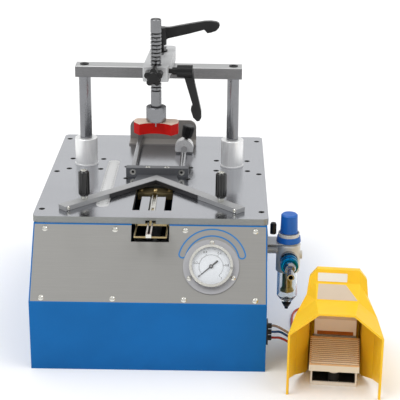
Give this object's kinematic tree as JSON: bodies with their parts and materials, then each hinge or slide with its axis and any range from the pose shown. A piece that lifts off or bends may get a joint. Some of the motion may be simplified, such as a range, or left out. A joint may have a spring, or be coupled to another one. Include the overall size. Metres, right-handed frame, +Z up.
{
  "type": "picture frame underpinner",
  "caption": "Bench machine that joins mitred frame corners: V fence, notched press arm, nail magazine, gauge, filter regulator and guarded foot pedal.",
  "frame": {"origin": "middle of the underside of the cabinet's base plate, on the bench", "axes": "+X to the operator's right, +Y away from the operator to the rear bracket, +Z up"},
  "size_m": [0.5535, 0.6337, 0.519],
  "materials": {
    "cabinet_blue": "satin",
    "panel_steel": "brushed",
    "table_steel": "polished",
    "zinc": "polished",
    "bright_steel": "polished",
    "steel": "machined",
    "black_steel": "satin",
    "dark_steel": "satin",
    "arm_grey": "satin",
    "black_plastic": "satin",
    "pad_red": "matte",
    "strip_white": "satin",
    "clear": "clear",
    "regulator_white": "gloss",
    "regulator_blue": "gloss",
    "brass": "satin",
    "coupling_blue": "anodised",
    "pedal_beige": "satin",
    "treadle_tan": "matte",
    "guard_yellow": "gloss",
    "hose_clear": "gloss",
    "hose_blue": "gloss",
    "hose_red": "gloss"
  },
  "bodies": {
    "base": {"cabinet_shell": "cabinet_blue", "base_plate": "dark_steel", "front_panel": "panel_steel", "panel_screws": "zinc", "table_plate": "table_steel", "table_screws": "black_steel", "scale_strip": "strip_white", "post_sleeves": "bright_steel", "clamp_cylinders": "steel", "drive_cylinder": "steel", "magazine_bed": "dark_steel", "magazine_rail": "zinc", "guide_head": "zinc", "rear_bracket": "dark_steel", "gauge_case": "bright_steel", "gauge_glass": "clear", "regulator_bracket": "steel", "regulator_body": "regulator_white", "regulator_ring": "regulator_blue", "filter_bowl": "clear", "filter_element": "brass", "coupling_body": "bright_steel", "hose_bulkhead": "black_steel", "pedal_base": "pedal_beige", "pedal_guard": "guard_yellow", "pedal_valve": "pedal_beige", "hose_clear": "hose_clear", "hose_blue": "hose_blue", "hose_red": "hose_red", "coil_clear": "hose_clear", "coil_blue": "hose_blue", "coil_red": "hose_red"},
    "needle": {"gauge_needle": "black_steel"},
    "pusher": {"magazine_pusher": "zinc"},
    "driver": {"driver_blade": "steel"},
    "yoke": {"post_left": "bright_steel", "post_right": "bright_steel", "cross_beam": "steel", "beam_screws": "black_steel"},
    "slider": {"slot_block": "dark_steel"},
    "arm": {"press_arm": "arm_grey"},
    "arm_lever": {"arm_lever": "black_plastic"},
    "rod": {"notched_rod": "bright_steel"},
    "pad": {"pad_holder": "bright_steel", "press_pad": "pad_red"},
    "rod_lever": {"rod_lever": "black_plastic"},
    "star_knob": {"star_knob": "black_plastic"},
    "fence": {"fence_block": "dark_steel", "guide_rods": "bright_steel", "fence_wings": "steel", "face_plates": "black_steel", "fence_fasteners": "zinc"},
    "handle_left": {"handle_left": "black_plastic"},
    "handle_right": {"handle_right": "black_plastic"},
    "stop": {"stop_collar": "bright_steel"},
    "thumb_screw": {"thumb_screw": "black_plastic"},
    "regulator_knob": {"regulator_knob": "regulator_blue"},
    "drain": {"drain_valve": "black_plastic"},
    "sleeve": {"coupling_sleeve": "coupling_blue"},
    "treadle": {"treadle": "treadle_tan"}
  },
  "joints": [
    {"name": "yoke_slide", "type": "slide", "parent": "base", "child": "yoke", "axis": [0, 0, 1], "range_m": [-0.045, 0], "stiffness_N_per_m": 2000, "springref_m": 0.06},
    {"name": "arm_swivel", "type": "hinge", "parent": "yoke", "child": "slider", "pos_m": [0.005, 0.092, 0.4153], "axis": [0, 0, 1], "range_deg": [-15, 15]},
    {"name": "arm_slide", "type": "slide", "parent": "slider", "child": "arm", "axis": [-0.0436, -0.999, 0], "range_m": [-0.02, 0.028]},
    {"name": "arm_lever_turn", "type": "hinge", "parent": "yoke", "child": "arm_lever", "pos_m": [0.005, 0.092, 0.44], "axis": [0, 0, 1], "range_deg": [-40, 180]},
    {"name": "rod_slide", "type": "slide", "parent": "arm", "child": "rod", "axis": [0, 0, 1], "range_m": [-0.025, 0.044]},
    {"name": "pad_turn", "type": "hinge", "parent": "rod", "child": "pad", "pos_m": [0.00055, -0.0099, 0.345], "axis": [0, 0, 1], "range_deg": [-90, 90]},
    {"name": "rod_lever_turn", "type": "hinge", "parent": "arm", "child": "rod_lever", "pos_m": [0.00055, -0.0099, 0.43111], "axis": [0.999, -0.0436, 0], "range_deg": [-75, 20]},
    {"name": "star_knob_turn", "type": "hinge", "parent": "arm", "child": "star_knob", "pos_m": [-0.00076, -0.03987, 0.43111], "axis": [-0.0436, -0.999, 0], "continuous": true},
    {"name": "fence_slide", "type": "slide", "parent": "base", "child": "fence", "axis": [0, 1, 0], "range_m": [-0.02, 0.058]},
    {"name": "stop_slide", "type": "slide", "parent": "fence", "child": "stop", "axis": [0, -1, 0], "range_m": [0, 0.07]},
    {"name": "thumb_screw_turn", "type": "hinge", "parent": "stop", "child": "thumb_screw", "pos_m": [0.04874, 0.164, 0.26984], "axis": [0.2079, 0, 0.9781], "continuous": true},
    {"name": "handle_left_turn", "type": "hinge", "parent": "fence", "child": "handle_left", "pos_m": [-0.1125, -0.11527, 0.26], "axis": [0, 0, 1], "continuous": true},
    {"name": "handle_right_turn", "type": "hinge", "parent": "fence", "child": "handle_right", "pos_m": [0.1125, -0.11527, 0.26], "axis": [0, 0, 1], "continuous": true},
    {"name": "follower_pull", "type": "slide", "parent": "base", "child": "pusher", "axis": [0, -1, 0], "range_m": [0, 0.06], "stiffness_N_per_m": 60, "springref_m": -0.02},
    {"name": "driver_stroke", "type": "slide", "parent": "base", "child": "driver", "axis": [0, 0, 1], "range_m": [0, 0.018]},
    {"name": "needle_turn", "type": "hinge", "parent": "base", "child": "needle", "pos_m": [0.0987, -0.22298, 0.168], "axis": [0, -0.7861, 0.6182], "range_deg": [-270, 0], "stiffness_Nm_per_rad": 0.002, "springref_deg": 11.46},
    {"name": "regulator_knob_turn", "type": "hinge", "parent": "base", "child": "regulator_knob", "pos_m": [0.226, -0.126, 0.2], "axis": [0, 0, 1], "continuous": true},
    {"name": "drain_turn", "type": "hinge", "parent": "base", "child": "drain", "pos_m": [0.226, -0.126, 0.062], "axis": [0, 0, 1], "range_deg": [0, 90]},
    {"name": "coupling_pull", "type": "slide", "parent": "base", "child": "sleeve", "axis": [0, 1, 0], "range_m": [0, 0.0025], "stiffness_N_per_m": 800, "springref_m": -0.003},
    {"name": "treadle_press", "type": "hinge", "parent": "base", "child": "treadle", "pos_m": [0.29984, -0.23375, 0.042], "axis": [0.9962, -0.0872, 0], "range_deg": [0, 6], "stiffness_Nm_per_rad": 6, "springref_deg": -8.59}
  ]
}
